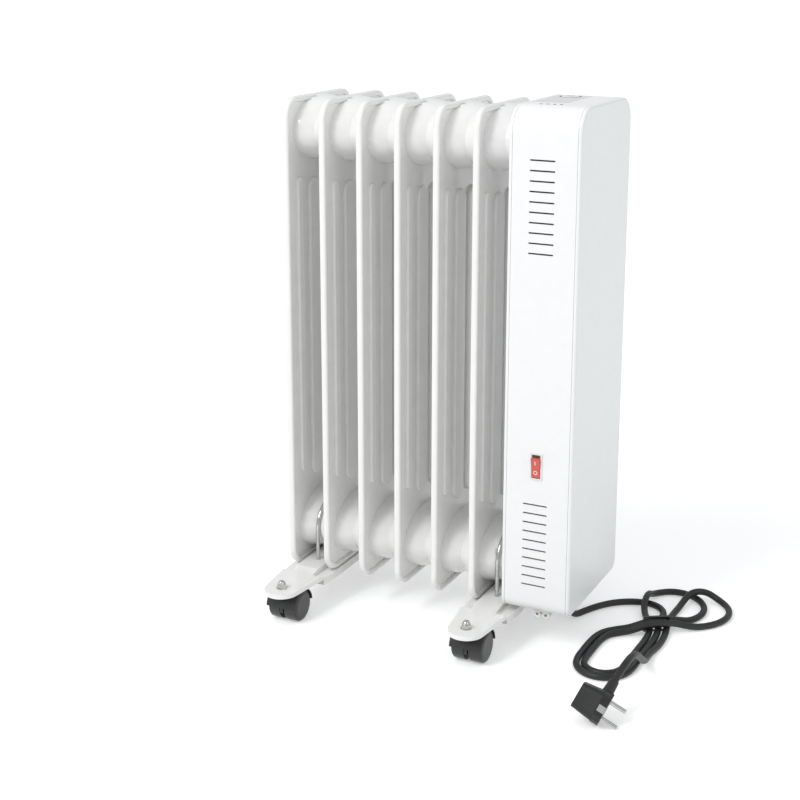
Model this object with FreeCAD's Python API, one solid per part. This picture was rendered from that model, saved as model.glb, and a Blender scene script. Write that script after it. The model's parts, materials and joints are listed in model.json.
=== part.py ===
"""Oil filled radiator heater: six pressed steel fins, a control box, two castor feet and a tied mains lead.

Frame: millimetres, +Z up. X runs along the row of fins to the control box, the front of the heater
faces -Y, and the origin is on the floor under the middle of the heater.
"""
import FreeCAD
import Part
import math
import os

from FreeCAD import Vector

# ---------------------------------------------------------------- driving dimensions
FIN_COUNT = 6
FIN_PITCH = 48.3
FIN_DEPTH = 160.0
FIN_HEIGHT = 580.0
FIN_CORNER = 24.0
FIN_SHEET = 2.4            # both pressed halves together
FIN_RIM = 8.0              # thickness of the rolled rim, along X
FIN_RIM_WIDTH = 7.0
END_DOME = 11.0            # how far the blanked outer header domes stand from the first fin's middle
NEAR = 0.01                # tolerance when an edge is picked by its place

# oil headers, which join fin to fin
HEADER_LOW = 46.0          # axis above the lower fin edge
HEADER_HIGH = FIN_HEIGHT - 40.0
DOME_WIDTH = 124.0         # at the fin
DOME_HEIGHT = 78.0
NECK_WIDTH = 108.0         # at the weld half way to the next fin
NECK_HEIGHT = 70.0
HEADER_BORE = 36.0
# how far along the dome, and how much of the narrowing is done there
DOME_PROFILE = ((0.0, 0.0), (0.30, 0.16), (0.68, 0.55), (1.0, 1.0))
# the same for the blanked neck at the box, with the narrowing in millimetres
NECK_PROFILE = ((0.0, 0.0), (0.5, 2.0), (1.0, 9.0))

# oil channels pressed into each fin: (middle along Y, width, lower end, upper end)
CHANNELS = ((51.0, 14.0, 118.0, FIN_HEIGHT - 96.0), (17.0, 26.0, 104.0, FIN_HEIGHT - 100.0))
CHANNEL_RISE = 4.8         # from the fin's middle to the crest
CHANNEL_EDGE = 2.2         # rounding of the crest

# control box
BOX_GAP = 36.3             # from the last fin's rim to the box
BOX_WIDTH = 82.4
BOX_DEPTH = FIN_DEPTH + 6.0
BOX_LIFT = 7.8             # the box's underside above the lower fin edge
BOX_HEIGHT = FIN_HEIGHT - 3.0
BOX_TOP_CORNER = 28.0
BOX_LOW_CORNER = 12.0
BOX_WALL = 1.5
BOX_EDGE = 3.2             # rounding round the end panel
BACK_PLATE_RIM = 3.6       # visible flange of the inner closing plate
SEAM = 0.4                 # gap between two neighbouring panels
END_RIM = 4.0
LIP_LENGTH = 6.0           # how far the closing plate's lip reaches into the housing
LIP_GAP = 0.2

# louvres, cut in the front and in the back
SLOT_COUNT = 10
SLOT_LENGTH = 29.0
SLOT_WIDTH = 1.8
SLOT_PITCH_HIGH = 11.3
SLOT_PITCH_LOW = 10.8
SLOT_HIGH_FIRST = FIN_HEIGHT - 52.0    # top slot of the upper group, above the lower fin edge
SLOT_LOW_FIRST = 138.4

# controls on the top face
BUTTON_DIAMETER = 21.0
BUTTON_FROM_BACK = 44.0
BUTTON_FROM_LEFT = 24.0
BUTTON_TRAVEL = 1.2
BUTTON_GAP = 0.25
BUTTON_PROUD = 0.5
BUTTON_COLLAR = 1.5        # thickness of the collar that keeps the button in
BUTTON_COLLAR_RIM = 2.0
BUTTON_REST = 0.3          # gap left under the pressed button
PLUNGER_DIAMETER = 10.0
PLUNGER_BORE = 7.4
SPRING_DIAMETER = 13.0
SPRING_WIRE = 0.8
SPRING_GAP = 0.1
CONTACT_DIAMETER = 3.4
CONTACT_HEIGHT = 3.8
CONTACT_BASE = 5.0         # side of the contact's square case
CONTACT_BASE_HEIGHT = 1.7
LAMP_COUNT = 4
LAMP_PITCH = 7.7
LAMP_DIAMETER = 3.4
LAMP_FIT = 0.05            # radial gap of a lamp in its hole
LAMP_PROUD = 0.3
LAMP_FROM_FRONT = 31.0
LAMP_MIDDLE_FROM_LEFT = 35.4
INLAY_THICKNESS = 0.5
INLAY_FROM_LAMPS = 18.0
INLAY_PAST_BUTTON = 14.0
INLAY_WIDTH = 41.0
BOARD_DROP = 16.0          # the board's top, below the box's top face
BOARD_THICKNESS = 1.6
BOARD_MARGIN = 4.0         # between the closing plate's lip and the board
BOARD_PAST_LAMPS = 16.0
BOARD_PAST_BUTTON = 20.0
SPACER_DIAMETER = 4.0
SPACER_INSET = 4.0
RELAY = (18.0, 16.0, 15.0)
RELAY_FROM_LEFT = 6.0
RELAY_FROM_FRONT = 50.0

# rocker switch in the front
ROCKER_WIDTH = 9.8
ROCKER_HEIGHT = 23.4
ROCKER_MIDDLE = 184.6      # above the lower fin edge
ROCKER_FROM_LEFT = 39.4
ROCKER_TILT = 8.0          # to each side of its middle position
ROCKER_RADIUS = 7.4        # from the pivot to the face
ROCKER_DISH = 1.3
ROCKER_PIVOT_DEPTH = 3.4   # pivot behind the front face
ROCKER_GAP = 0.35
ROCKER_PIN = 2.4
PIN_FIT = 0.05             # radial running clearance of small pins
BEZEL_RIM = 1.9
BEZEL_PROUD = 1.2
SWITCH_DEPTH = 17.0
WELL_CLEARANCE = 2.1       # above and below the rocker
WELL_DEPTH = 5.6           # behind the pivot
BLADE = (4.8, 8.0, 0.8)
BLADE_PITCH = 7.0

# parts on the closing plate, inside the box
POST_DIAMETER = 8.0
POST_FROM_FACE = 16.0
POST_LOW = 30.0            # above the box's underside
POST_HIGH = 62.0           # below the box's top
SCREW_DIAMETER = 3.0
SCREW_HOLE_GAP = 0.2
SCREW_HEAD = 6.0
SCREW_HEAD_HEIGHT = 2.0
SCREW_GRIP = 12.0          # length of a screw in its post
THERMOSTAT_DIAMETER = 17.0
THERMOSTAT_THICKNESS = 6.0
THERMOSTAT_TAB = (8.0, 12.0, 1.0)
TIP_SWITCH = (16.0, 28.0, 30.0)
TIP_SWITCH_LIFT = 70.0     # above the lower header's axis
TERMINAL = (18.0, 24.0, 44.0)
TERMINAL_PLACE = (-50.0, 10.0)      # middle along Y, underside above the lower header's axis
LOOM_DIAMETER = 6.0
LOOM_Y = 40.0
LOOM_LIFT = 60.0
LOOM_FROM_PLATE = 17.0
CLIP_WIDTH = 8.0
CLIP_RIM = 2.0

# feet
FOOT_SHEET = 2.0
FOOT_TIP_RADIUS = 21.0
FOOT_HALF_WIDTH = 30.0
FOOT_SHOULDER = FIN_DEPTH / 2 - 6.0     # half the length that keeps the full width
CASTOR_SPAN = FIN_DEPTH + 131.0         # between the front and rear castor stems
FOOT_TIP_RISE = 3.4        # the tongue stands this far over the fin seat
FOOT_SKIRT = 9.0
FOOT_SKIRT_LENGTH = FIN_DEPTH / 2 + 12.0    # half the length of the deep skirt
TONGUE_START = 22.0        # past the shoulder
TIP_SKIRT = 1.4            # the tongue's skirt below the fin seat
SADDLE_WIDTH = 30.0        # raised middle between the fins
SADDLE_GAP = 0.4           # under the header domes
SADDLE_HALF = FIN_DEPTH / 2 + 4.0
SADDLE_SLOPE = 30.0
U_BOLT_WIRE = 5.0
U_BOLT_CLEARANCE = 0.3     # radial, in the foot's holes
U_BOLT_NECK_GAP = 0.5
U_BOLT_TOP_GAP = 1.2
U_BOLT_THREAD_END = 2.5    # thread past the nut
NUT_WIDTH = 9.0
NUT_HEIGHT = 4.5

# castors
WHEEL_RADIUS = 19.0
WHEEL_WIDTH = 17.3
WHEEL_INNER = 2.5          # from the castor's middle to the wheel's inner face
HUB_CAP = 4.5              # closed outer end of the wheel's bore
CASTOR_TRAIL = 17.5
HOOD_GAP = 0.6
HOOD_WALL = 1.3
HOOD_WEB = 4.0
HOOD_SWIVEL_GAP = 0.7      # between the hood's roof and the tongue's skirt
HOOD_ROOF_LOW = 1.5        # lower edge of the roof above the axle
HOOD_WEB_LOW = 5.5         # lower edge of the web below the axle
SOCKET_WALL = 2.5
SOCKET_FLOOR = 1.2
AXLE_DIAMETER = 6.0
STEM_DIAMETER = 7.0
STEM_THREAD = 6.0
RUN_FIT = 0.05
STEM_HEAD = 11.0
STEM_HEAD_HEIGHT = 1.2
STEM_HEAD_GAP = 0.3
WASHER_DIAMETER = 13.0
WASHER_THICKNESS = 1.0
CAP_NUT_WIDTH = 10.0
CAP_NUT_HEX = 4.5
CAP_NUT_DOME = 4.6

# heating element
ELEMENT_ROD = 8.0
ELEMENT_SPREAD = 16.0
ELEMENT_LENGTH = 262.0
FLANGE_DIAMETER = 54.0
FLANGE_THICKNESS = 5.0
GASKET_THICKNESS = 1.5
HEX_NECK = 34.0

# mains lead
CORD_DIAMETER = 8.0
CORD_LIFT = 0.1            # clearance of the lead over the floor
HANK_HEIGHT = 17.0
HANK_WAIST = 28.0          # across the hank under its tie
TIE_WIDTH = 4.0
TIE_THICKNESS = 1.2
TIE_GAP = 0.3
GLAND_FLANGE = 20.0
GLAND_FLANGE_THICKNESS = 2.5
GLAND_NUT = 4.0
GLAND_NECK = 13.0
GLAND_NECK_LENGTH = 9.0    # past the wall
SLEEVE_WALL = 1.2          # of a bend protector, at its tip

# clip that parks the lead, under the box
HOOK_FROM_LEFT = 46.0
HOOK_FROM_FRONT = 14.0
HOOK_PAD = (19.0, 10.0, 2.0)
HOOK_SPREAD = 5.2          # from the middle to each lobe
HOOK_DROP = 3.6
HOOK_LOBE = 8.4
HOOK_HOLE = 3.6
HOOK_LENGTH = 8.0

# plug
PIN_DIAMETER = 4.8
PIN_LENGTH = 19.0
PIN_SPACING = 19.0
PIN_ROOT = 8.0             # length held in the body
PIN_ROOT_DIAMETER = 4.0
PIN_TIP_ROUND = 1.4
PLUG_FACE_DIAMETER = 37.0
PLUG_FACE_THICKNESS = 9.0
PLUG_FLATS = 33.2          # across the two flats that carry the earth contacts
PLUG_GRIP = 33.0           # from the face to the end of the grip
CLIP_PLUG = (8.0, 7.2, 1.2)
PLUG_SLEEVE = (-7.5, -8.0)     # start of the sleeve: behind the face, and along the pin line
PLUG_SLEEVE_LENGTH = 24.0
PLUG_SLEEVE_ROOT = 7.0
PLUG_SLEEVE_LEAN = 25.0        # away from the pin line, to the rear side
PLUG_CENTRE = (273.5, -201.5)
PLUG_OUT = Vector(0.91, 0.03, -0.40)      # direction of the pins
PLUG_LINE = Vector(-0.35, -0.46, -0.81)   # from the upper pin to the lower pin

# ---------------------------------------------------------------- derived places
ROW_LENGTH = (FIN_COUNT - 1) * FIN_PITCH
OVERALL = END_DOME + ROW_LENGTH + FIN_RIM / 2 + BOX_GAP + BOX_WIDTH
LEFT = -OVERALL / 2
FIRST_FIN = LEFT + END_DOME
LAST_FIN = FIRST_FIN + ROW_LENGTH
BOX_LEFT = LAST_FIN + FIN_RIM / 2 + BOX_GAP
BOX_RIGHT = BOX_LEFT + BOX_WIDTH
BOX_FRONT = -BOX_DEPTH / 2
HOUSING_LEFT = BOX_LEFT + BACK_PLATE_RIM + SEAM
HOUSING_RIGHT = BOX_RIGHT - END_RIM - SEAM
PANEL_LEFT = BOX_RIGHT - END_RIM
HOOD_INNER = WHEEL_RADIUS + HOOD_GAP
HOOD_OUTER = HOOD_INNER + HOOD_WALL
FIN_BOTTOM = WHEEL_RADIUS + HOOD_OUTER + HOOD_SWIVEL_GAP + TIP_SKIRT    # lower fin edge above the floor
BOX_BOTTOM = FIN_BOTTOM + BOX_LIFT
BOX_TOP = BOX_BOTTOM + BOX_HEIGHT
LOW_AXIS = FIN_BOTTOM + HEADER_LOW
HIGH_AXIS = FIN_BOTTOM + HEADER_HIGH
FIN_MIDDLE = FIN_BOTTOM + FIN_HEIGHT / 2
LEFT_FOOT = FIRST_FIN + FIN_PITCH / 2
RIGHT_FOOT = LAST_FIN + FIN_PITCH / 2
FOOT_TOP = FIN_BOTTOM
SADDLE_RISE = HEADER_LOW - DOME_HEIGHT / 2 - SADDLE_GAP
U_BOLT_SPAN = NECK_WIDTH + U_BOLT_WIRE + 2 * U_BOLT_NECK_GAP
AXLE_HEIGHT = WHEEL_RADIUS
CORD_RADIUS = CORD_DIAMETER / 2
HANK_TOP = CORD_LIFT + HANK_HEIGHT

X_AXIS = Vector(1, 0, 0)
Y_AXIS = Vector(0, 1, 0)
Z_AXIS = Vector(0, 0, 1)
CORNERS = (("front_left", -1, -1), ("front_right", 1, -1), ("back_left", -1, 1), ("back_right", 1, 1))


# ---------------------------------------------------------------- basic shapes
def block(x0, x1, y0, y1, z0, z1):
    """A box between two corners."""
    return Part.makeBox(x1 - x0, y1 - y0, z1 - z0, Vector(x0, y0, z0))


def rod(start, axis, diameter, length):
    """A cylinder from its start along an axis."""
    return Part.makeCylinder(diameter / 2, length, start, axis)


def ring(start, axis, outer, inner, length):
    """A tube from its start along an axis."""
    return rod(start, axis, outer, length).cut(rod(start, axis, inner, length))


def fuse(first, *others):
    """One solid from several that touch, with shared flat faces merged."""
    return first.multiFuse(list(others)).removeSplitter()


def rounded_wire(x, y0, y1, z0, z1, low, high):
    """A closed outline in the plane at x, with its own radius for the low and for the high corners."""
    lean = math.sqrt(0.5)
    corners = (
        (y1 - low, z0 + low, low, 1, -1),
        (y1 - high, z1 - high, high, 1, 1),
        (y0 + high, z1 - high, high, -1, 1),
        (y0 + low, z0 + low, low, -1, -1),
    )
    edges = []
    stops = []
    for number, (cy, cz, radius, side, up) in enumerate(corners):
        flat = Vector(x, cy + side * radius, cz)
        upright = Vector(x, cy, cz + up * radius)
        middle = Vector(x, cy + side * radius * lean, cz + up * radius * lean)
        first, last = (upright, flat) if number in (0, 2) else (flat, upright)
        edges.append(Part.Arc(first, middle, last).toShape())
        stops.append((first, last))
    for number in range(len(stops)):
        here = stops[number][1]
        there = stops[(number + 1) % len(stops)][0]
        edges.insert(2 * number + 1, Part.makeLine(here, there))
    return Part.Wire(edges)


def slab(x0, x1, y0, y1, z0, z1, low, high):
    """A plate that fills a rounded outline between two x planes."""
    face = Part.Face(rounded_wire(x0, y0, y1, z0, z1, low, high))
    return face.extrude(Vector(x1 - x0, 0, 0))


def ellipse_wire(x, z, width, height):
    """An ellipse in the plane at x."""
    curve = Part.Ellipse(Vector(x, width / 2, z), Vector(x, 0, z + height / 2), Vector(x, 0, z))
    return Part.Wire([curve.toShape()])


def placed(shape, origin, out, line):
    """A shape drawn with +X out and +Y along the line, put at its place."""
    third = out.cross(line)
    matrix = FreeCAD.Matrix(
        out.x, line.x, third.x, origin.x,
        out.y, line.y, third.y, origin.y,
        out.z, line.z, third.z, origin.z,
    )
    moved = shape.copy()
    moved.Placement = FreeCAD.Placement(matrix)
    return moved


# ---------------------------------------------------------------- fins
def dome(x, side, z, reach):
    """A header dome: wide where it leaves the fin, narrower at the weld half way to the next fin."""
    wires = []
    for along, narrowing in DOME_PROFILE:
        width = DOME_WIDTH - (DOME_WIDTH - NECK_WIDTH) * narrowing
        height = DOME_HEIGHT - (DOME_HEIGHT - NECK_HEIGHT) * narrowing
        wires.append(ellipse_wire(x + side * along * reach, z, width, height))
    return Part.makeLoft(wires, True, False)


def channel(y, width, low, high):
    """One pressed oil channel, standing out on both faces of a fin, with round ends."""
    shape = slab(
        -CHANNEL_RISE, CHANNEL_RISE, y - width / 2, y + width / 2,
        FIN_BOTTOM + low, FIN_BOTTOM + high, width / 2 - NEAR, width / 2 - NEAR,
    )
    crest = [e for e in shape.Edges if abs(abs(e.CenterOfMass.x) - CHANNEL_RISE) < NEAR]
    return shape.makeFillet(CHANNEL_EDGE, crest)


def fin_blank():
    """The fin's sheet, rolled rim and channels, with its middle at x = 0."""
    half = FIN_DEPTH / 2
    top = FIN_BOTTOM + FIN_HEIGHT
    sheet = slab(-FIN_SHEET / 2, FIN_SHEET / 2, -half, half, FIN_BOTTOM, top, FIN_CORNER, FIN_CORNER)
    rim = slab(-FIN_RIM / 2, FIN_RIM / 2, -half, half, FIN_BOTTOM, top, FIN_CORNER, FIN_CORNER)
    inset = FIN_RIM_WIDTH
    window = slab(
        -FIN_RIM, FIN_RIM, -half + inset, half - inset, FIN_BOTTOM + inset, top - inset,
        FIN_CORNER - inset, FIN_CORNER - inset,
    )
    rim = rim.cut(window)
    edges = [e for e in rim.Edges if abs(abs(e.CenterOfMass.x) - FIN_RIM / 2) < NEAR]
    rim = rim.makeFillet(FIN_RIM * 0.36, edges)
    parts = [rim]
    for y, width, low, high in CHANNELS:
        parts.append(channel(y, width, low, high))
        parts.append(channel(-y, width, low, high))
    return fuse(sheet, *parts)


def fins():
    """All the fins. The header bores run through every fin but stop inside the first one's outer domes."""
    blank = fin_blank()
    made = {}
    for number in range(FIN_COUNT):
        x = FIRST_FIN + number * FIN_PITCH
        body = blank.copy()
        body.translate(Vector(x, 0, 0))
        domes = []
        for z in (LOW_AXIS, HIGH_AXIS):
            domes.append(dome(x, 1, z, FIN_PITCH / 2))
            domes.append(dome(x, -1, z, END_DOME if number == 0 else FIN_PITCH / 2))
        body = body.multiFuse(domes)
        start = x - (END_DOME - FIN_SHEET if number == 0 else FIN_PITCH / 2)
        for z in (LOW_AXIS, HIGH_AXIS):
            body = body.cut(rod(Vector(start, 0, z), X_AXIS, HEADER_BORE, x + FIN_PITCH / 2 - start))
        made["fin_%d" % (number + 1)] = body
    return made


def header_ends():
    """The two blanked necks between the last fin and the control box."""
    start = LAST_FIN + FIN_PITCH / 2
    length = BOX_LEFT - start
    made = {}
    for name, z in (("lower_header_neck", LOW_AXIS), ("upper_header_neck", HIGH_AXIS)):
        wires = []
        for along, less in NECK_PROFILE:
            wires.append(ellipse_wire(start + along * length, z, NECK_WIDTH - less, NECK_HEIGHT - less))
        made[name] = Part.makeLoft(wires, True, False)
    bore = rod(Vector(start, 0, LOW_AXIS), X_AXIS, HEADER_BORE, length)
    made["lower_header_neck"] = made["lower_header_neck"].cut(bore)
    pocket = rod(Vector(start, 0, HIGH_AXIS), X_AXIS, HEADER_BORE, length - FOOT_SHEET)
    made["upper_header_neck"] = made["upper_header_neck"].cut(pocket)
    return made


# ---------------------------------------------------------------- heating element
def heater():
    """Hairpin element in the lower header, with its hexagon flange and sealing ring in the box."""
    plate_face = BOX_LEFT + BOX_WALL
    gasket = ring(Vector(plate_face, 0, LOW_AXIS), X_AXIS, FLANGE_DIAMETER, HEADER_BORE, GASKET_THICKNESS)
    flange_start = plate_face + GASKET_THICKNESS
    flange = rod(Vector(flange_start, 0, LOW_AXIS), X_AXIS, FLANGE_DIAMETER, FLANGE_THICKNESS)
    hexagon = []
    for corner in range(7):
        angle = math.radians(60 * corner)
        hexagon.append(Vector(
            flange_start + FLANGE_THICKNESS,
            HEX_NECK / 2 * math.cos(angle),
            LOW_AXIS + HEX_NECK / 2 * math.sin(angle),
        ))
    head = Part.Face(Part.makePolygon(hexagon)).extrude(Vector(FLANGE_THICKNESS, 0, 0))
    flange = fuse(flange, head)
    far = flange_start + 2 * FLANGE_THICKNESS
    bend = far - ELEMENT_LENGTH
    legs = []
    for side in (-1, 1):
        start = Vector(bend, side * ELEMENT_SPREAD / 2, LOW_AXIS)
        leg = rod(start, X_AXIS, ELEMENT_ROD, ELEMENT_LENGTH + FLANGE_THICKNESS)
        legs.append(leg)
        hole = rod(Vector(flange_start, start.y, LOW_AXIS), X_AXIS, ELEMENT_ROD, 2 * FLANGE_THICKNESS)
        flange = flange.cut(hole)
    turn = Part.makeTorus(ELEMENT_SPREAD / 2, ELEMENT_ROD / 2, Vector(bend, 0, LOW_AXIS), Z_AXIS)
    turn = turn.common(block(bend - FIN_PITCH, bend, -FIN_PITCH, FIN_PITCH, LOW_AXIS - FIN_PITCH,
                             LOW_AXIS + FIN_PITCH))
    return {"element_gasket": gasket, "element_flange": flange,
            "heating_element": legs[0].multiFuse([legs[1], turn])}


# ---------------------------------------------------------------- control box
def box_profile(x0, x1, inset):
    """A slice of the control box, with its walls moved in."""
    return slab(
        x0, x1, BOX_FRONT + inset, -BOX_FRONT - inset, BOX_BOTTOM + inset, BOX_TOP - inset,
        BOX_LOW_CORNER - inset, BOX_TOP_CORNER - inset,
    )


def louvres(y0, y1):
    """The ten upper and ten lower slots through one narrow wall."""
    middle = BOX_LEFT + ROCKER_FROM_LEFT - 0.6
    cuts = []
    for first, pitch in ((SLOT_HIGH_FIRST, SLOT_PITCH_HIGH), (SLOT_LOW_FIRST, SLOT_PITCH_LOW)):
        for number in range(SLOT_COUNT):
            z = FIN_BOTTOM + first - number * pitch
            straight = SLOT_LENGTH / 2 - SLOT_WIDTH / 2
            cut = block(middle - straight, middle + straight, y0, y1, z - SLOT_WIDTH / 2, z + SLOT_WIDTH / 2)
            ends = [rod(Vector(middle + s * straight, y0, z), Y_AXIS, SLOT_WIDTH, y1 - y0) for s in (-1, 1)]
            cuts.append(cut.multiFuse(ends))
    return cuts


BUTTON_X = BOX_LEFT + BUTTON_FROM_LEFT
BUTTON_Y = BOX_DEPTH / 2 - BUTTON_FROM_BACK
LAMP_Y = BOX_FRONT + LAMP_FROM_FRONT
LAMP_FIRST_X = BOX_LEFT + LAMP_MIDDLE_FROM_LEFT - LAMP_PITCH * (LAMP_COUNT - 1) / 2
BOARD_TOP = BOX_TOP - BOARD_DROP
BOARD_LOW = BOARD_TOP - BOARD_THICKNESS
BOARD_FRONT = LAMP_Y - BOARD_PAST_LAMPS
BOARD_BACK = BUTTON_Y + BOARD_PAST_BUTTON
BOARD_LEFT = HOUSING_LEFT + LIP_LENGTH + BOARD_MARGIN
BOARD_RIGHT = HOUSING_RIGHT - LIP_LENGTH
SPACER_Y = BOX_DEPTH / 2 - BOX_TOP_CORNER - SPACER_DIAMETER / 2
INLAY_LEFT = HOUSING_LEFT + 2.0
INLAY_RIGHT = INLAY_LEFT + INLAY_WIDTH
INLAY_FRONT = LAMP_Y + INLAY_FROM_LAMPS
INLAY_BACK = BUTTON_Y + INLAY_PAST_BUTTON
POST_HEIGHTS = (BOX_BOTTOM + POST_LOW, BOX_TOP - POST_HIGH)
POST_PLACES = [(side, z) for z in POST_HEIGHTS for side in (-1, 1)]
POST_Y = BOX_DEPTH / 2 - POST_FROM_FACE
SWITCH_X = BOX_LEFT + ROCKER_FROM_LEFT
SWITCH_Z = FIN_BOTTOM + ROCKER_MIDDLE
PIVOT_Y = BOX_FRONT + ROCKER_PIVOT_DEPTH
CUT_WIDTH = ROCKER_WIDTH + 2 * BEZEL_RIM - 1.2
CUT_HEIGHT = ROCKER_HEIGHT + 2 * BEZEL_RIM + 1.4


def lamp_centres():
    return [LAMP_FIRST_X + number * LAMP_PITCH for number in range(LAMP_COUNT)]


def housing():
    """The folded front, top, back and floor of the box in one piece, with louvres and cut-outs."""
    shell = box_profile(HOUSING_LEFT, HOUSING_RIGHT, 0.0)
    shell = shell.cut(box_profile(HOUSING_LEFT - 1, HOUSING_RIGHT + 1, BOX_WALL))
    cuts = louvres(BOX_FRONT - 1, BOX_FRONT + BOX_WALL + 1)
    cuts += louvres(-BOX_FRONT - BOX_WALL - 1, -BOX_FRONT + 1)
    cuts.append(rod(Vector(BUTTON_X, BUTTON_Y, BOX_TOP - BOX_WALL - 1), Z_AXIS,
                    BUTTON_DIAMETER + 2 * BUTTON_GAP, BOX_WALL + 2))
    for x in lamp_centres():
        cuts.append(rod(Vector(x, LAMP_Y, BOX_TOP - BOX_WALL - 1), Z_AXIS, LAMP_DIAMETER, BOX_WALL + 2))
    cuts.append(block(SWITCH_X - CUT_WIDTH / 2, SWITCH_X + CUT_WIDTH / 2, BOX_FRONT - 1,
                      BOX_FRONT + BOX_WALL + 1, SWITCH_Z - CUT_HEIGHT / 2, SWITCH_Z + CUT_HEIGHT / 2))
    gland_x, gland_y, _ = LEAD_ROUTE[0]
    cuts.append(rod(Vector(gland_x, gland_y, BOX_BOTTOM - 1), Z_AXIS, GLAND_NECK, BOX_WALL + 2))
    recess_floor = BOX_TOP - INLAY_THICKNESS
    cuts.append(block(INLAY_LEFT, INLAY_RIGHT, INLAY_FRONT, INLAY_BACK, recess_floor, BOX_TOP + 1))
    return shell.cut(cuts)


def closing_plate():
    """The inner plate that faces the last fin. Its lip goes inside the housing."""
    outer = box_profile(BOX_LEFT, BOX_LEFT + BACK_PLATE_RIM, 0.0)
    edges = [e for e in outer.Edges if abs(e.CenterOfMass.x - BOX_LEFT) < NEAR]
    outer = outer.makeFillet(BOX_WALL * 0.9, edges)
    lip = box_profile(BOX_LEFT + BOX_WALL, HOUSING_LEFT + LIP_LENGTH, BOX_WALL + LIP_GAP)
    hollow = box_profile(BOX_LEFT + BOX_WALL, HOUSING_LEFT + LIP_LENGTH + 1, 2 * BOX_WALL + LIP_GAP)
    plate = fuse(outer, lip).cut(hollow)
    bore = rod(Vector(BOX_LEFT - 1, 0, LOW_AXIS), X_AXIS, HEADER_BORE, BOX_WALL + 2)
    plate = plate.cut(bore)
    screw_hole = SCREW_DIAMETER + 2 * SCREW_HOLE_GAP
    for side, z in POST_PLACES:
        plate = plate.cut(rod(Vector(BOX_LEFT - 1, side * POST_Y, z), X_AXIS, screw_hole, BOX_WALL + 2))
    return plate


def end_panel():
    """The outer end panel, with four posts that reach the closing plate and take its screws."""
    outer = box_profile(PANEL_LEFT, BOX_RIGHT, 0.0)
    edges = [e for e in outer.Edges if abs(e.CenterOfMass.x - BOX_RIGHT) < NEAR]
    outer = outer.makeFillet(BOX_EDGE, edges)
    hollow = box_profile(PANEL_LEFT - 1, BOX_RIGHT - 2 * BOX_WALL, 2 * BOX_WALL)
    lip = box_profile(HOUSING_RIGHT - LIP_LENGTH, PANEL_LEFT, BOX_WALL + LIP_GAP)
    bore = box_profile(HOUSING_RIGHT - LIP_LENGTH - 1, PANEL_LEFT + 1, 2 * BOX_WALL + LIP_GAP)
    panel = fuse(outer.cut(hollow), lip.cut(bore))
    start = BOX_LEFT + BOX_WALL
    length = BOX_RIGHT - 2 * BOX_WALL - start
    posts = []
    holes = []
    for side, z in POST_PLACES:
        posts.append(rod(Vector(start, side * POST_Y, z), X_AXIS, POST_DIAMETER, length + 0.5))
        holes.append(rod(Vector(start, side * POST_Y, z), X_AXIS, SCREW_DIAMETER, POST_DIAMETER * 2))
    return fuse(panel, *posts).cut(holes)


def closing_screws():
    """Four pan head screws from the fin side into the posts."""
    screws = []
    length = BOX_WALL + SCREW_GRIP
    for side, z in POST_PLACES:
        shank = rod(Vector(BOX_LEFT, side * POST_Y, z), X_AXIS, SCREW_DIAMETER, length)
        place = Vector(BOX_LEFT - SCREW_HEAD_HEIGHT, side * POST_Y, z)
        head = rod(place, X_AXIS, SCREW_HEAD, SCREW_HEAD_HEIGHT)
        screws.append(fuse(head, shank))
    return Part.makeCompound(screws)


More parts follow.
